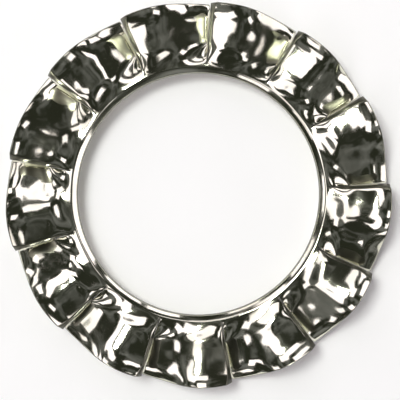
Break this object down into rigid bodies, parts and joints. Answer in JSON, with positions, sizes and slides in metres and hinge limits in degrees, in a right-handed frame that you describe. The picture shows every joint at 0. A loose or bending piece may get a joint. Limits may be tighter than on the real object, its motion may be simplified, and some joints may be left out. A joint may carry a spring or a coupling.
{
  "type": "toothed lock washer",
  "caption": "Flat steel lock washer with outer teeth twisted out of the sheet, put under a nut or a screw head so that it bites both faces and can't turn back.",
  "frame": {"origin": "centre of the hole, half way through the sheet's thickness", "axes": "+Z along the hole; the washer lies flat in X and Y, and each tooth's counter-clockwise edge, seen from +Z, stands up towards +Z"},
  "size_m": [0.0204, 0.0204, 0.003],
  "materials": {
    "plated_steel": "bright plated spring steel, mirror-like and slightly uneven from stamping and twisting"
  },
  "bodies": {
    "root": {"lock_washer": "plated_steel"}
  },
  "joints": []
}
